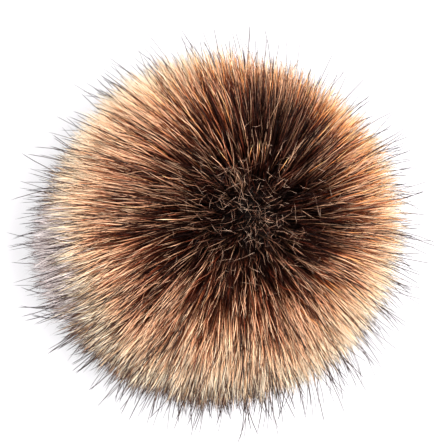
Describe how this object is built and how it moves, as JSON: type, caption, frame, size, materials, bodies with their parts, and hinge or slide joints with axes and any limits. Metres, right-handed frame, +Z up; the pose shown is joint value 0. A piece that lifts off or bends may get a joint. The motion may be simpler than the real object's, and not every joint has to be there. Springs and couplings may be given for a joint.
{
  "type": "pom pom",
  "caption": "Long-pile faux fur pom pom: a round ball of brown and cream fur with dark guard hairs, to sew or tie onto a hat, bag or key ring.",
  "frame": {"origin": "centre of the flat spot under the ball, on the surface it stands on", "axes": "+Z up through the crown, where the locks part in all directions; X and Y are alike, as the ball is round"},
  "size_m": [0.136, 0.1398, 0.1234],
  "materials": {
    "fur": "long acrylic pile, dark brown at the crown, tan to cream at the sides, dark tips"
  },
  "bodies": {
    "root": {"fur_ball": "fur"}
  },
  "joints": []
}
